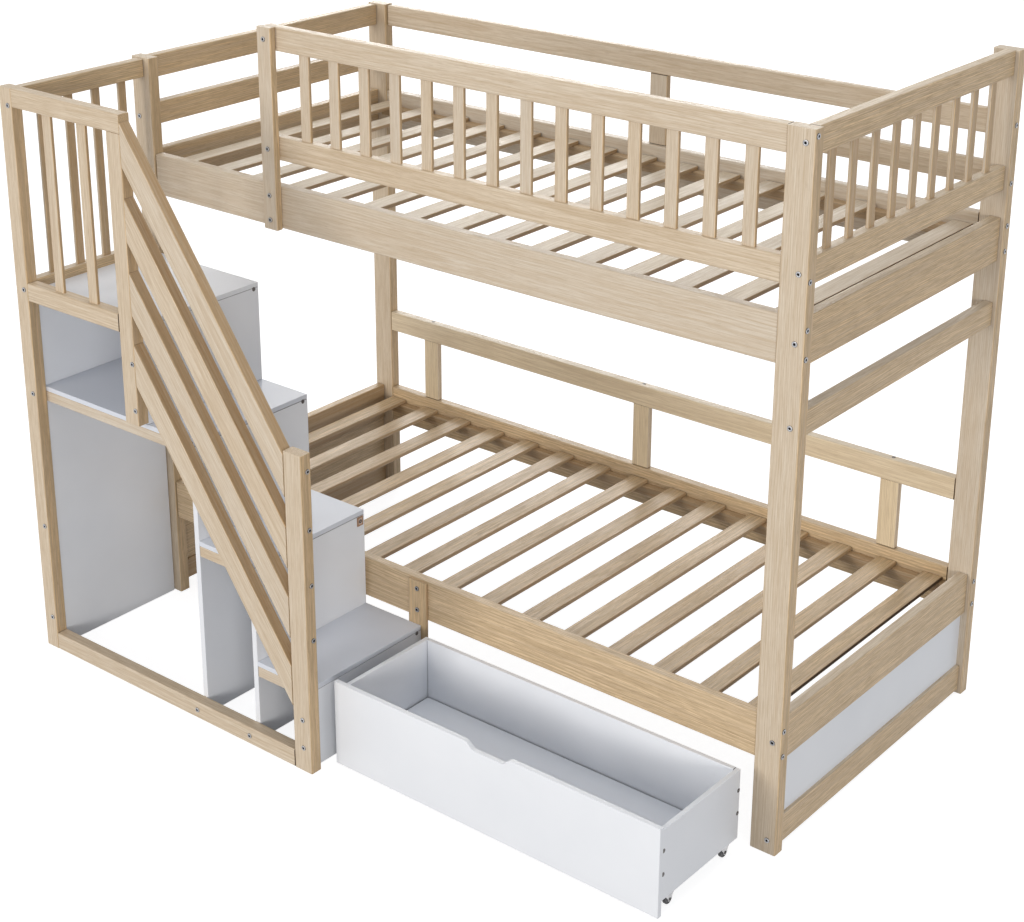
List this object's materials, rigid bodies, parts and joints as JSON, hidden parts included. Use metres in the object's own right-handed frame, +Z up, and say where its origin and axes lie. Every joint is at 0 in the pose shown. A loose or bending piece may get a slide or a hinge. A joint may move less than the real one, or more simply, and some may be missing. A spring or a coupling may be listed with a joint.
{
  "type": "bunk bed with storage stairs",
  "caption": "Wooden bunk bed with slatted bases and guard rails, a storage staircase of white boards with slanted guard slats in front, and an under-bed drawer that rolls out on castors.",
  "frame": {"origin": "on the floor, in the middle of the bounding box in plan", "axes": "+X along the bed to its right end, +Y to the back, +Z up; the staircase and the drawer are at -Y"},
  "size_m": [2.118, 1.415, 1.752],
  "materials": {
    "pine": "natural clear matt varnish, fine straight grain",
    "white_board": "matt white foil on board",
    "bolt_steel": "zinc-plated, satin",
    "dark_fitting": "dark brown, satin",
    "castor_steel": "zinc-plated sheet, satin",
    "castor_wheel": "matt dark plastic"
  },
  "bodies": {
    "frame": {"back_guard_rails": "pine", "back_guard_uprights": "pine", "backrest_rail": "pine", "backrest_uprights": "pine", "centre_leg": "pine", "dark_fittings": "dark_fitting", "frame_bolts": "bolt_steel", "front_guard_balusters": "pine", "front_guard_post": "pine", "front_guard_rails": "pine", "left_base_rail": "pine", "left_end_board": "pine", "left_guard_rails": "pine", "lower_end_rail_left": "pine", "lower_end_rail_right": "pine", "lower_side_rail_back": "pine", "lower_side_rail_front": "pine", "lower_slats": "pine", "post_back_left": "pine", "post_back_right": "pine", "post_front_left": "pine", "post_front_right": "pine", "right_base_rail": "pine", "right_cross_rail": "pine", "right_end_panel": "white_board", "right_guard_balusters": "pine", "right_guard_rails": "pine", "slat_cleats": "pine", "stair_base_rail": "pine", "stair_diagonals": "pine", "stair_front_balusters": "pine", "stair_mid_post": "pine", "stair_mid_rail": "pine", "stair_newel": "pine", "stair_nosing_rails": "pine", "stair_outer_post": "pine", "stair_platform": "white_board", "stair_risers": "white_board", "stair_side_balusters": "pine", "stair_side_board": "white_board", "stair_side_guard_rails": "pine", "stair_top_rail": "pine", "stair_tread_1": "white_board", "stair_tread_2": "white_board", "stair_tread_3": "white_board", "upper_end_rail_left": "pine", "upper_end_rail_right": "pine", "upper_side_rail_back": "pine", "upper_side_rail_front": "pine", "upper_slats": "pine"},
    "drawer": {"drawer_front": "white_board", "drawer_back": "white_board", "drawer_sides": "white_board", "drawer_base": "white_board", "drawer_fasteners": "dark_fitting", "castor_brackets": "castor_steel"},
    "wheel_front_left": {"wheel_front_left": "castor_wheel"},
    "wheel_front_right": {"wheel_front_right": "castor_wheel"},
    "wheel_back_left": {"wheel_back_left": "castor_wheel"},
    "wheel_back_right": {"wheel_back_right": "castor_wheel"}
  },
  "joints": [
    {"name": "drawer_slide", "type": "slide", "parent": "frame", "child": "drawer", "axis": [0, 1, 0], "range_m": [0, 0.374]},
    {"name": "wheel_front_left_spin", "type": "hinge", "parent": "drawer", "child": "wheel_front_left", "pos_m": [0.0354, -0.5645, 0.014], "axis": [1, 0, 0], "continuous": true},
    {"name": "wheel_front_right_spin", "type": "hinge", "parent": "drawer", "child": "wheel_front_right", "pos_m": [0.9611, -0.5645, 0.014], "axis": [1, 0, 0], "continuous": true},
    {"name": "wheel_back_left_spin", "type": "hinge", "parent": "drawer", "child": "wheel_back_left", "pos_m": [0.0354, -0.3385, 0.014], "axis": [1, 0, 0], "continuous": true},
    {"name": "wheel_back_right_spin", "type": "hinge", "parent": "drawer", "child": "wheel_back_right", "pos_m": [0.9611, -0.3385, 0.014], "axis": [1, 0, 0], "continuous": true}
  ]
}
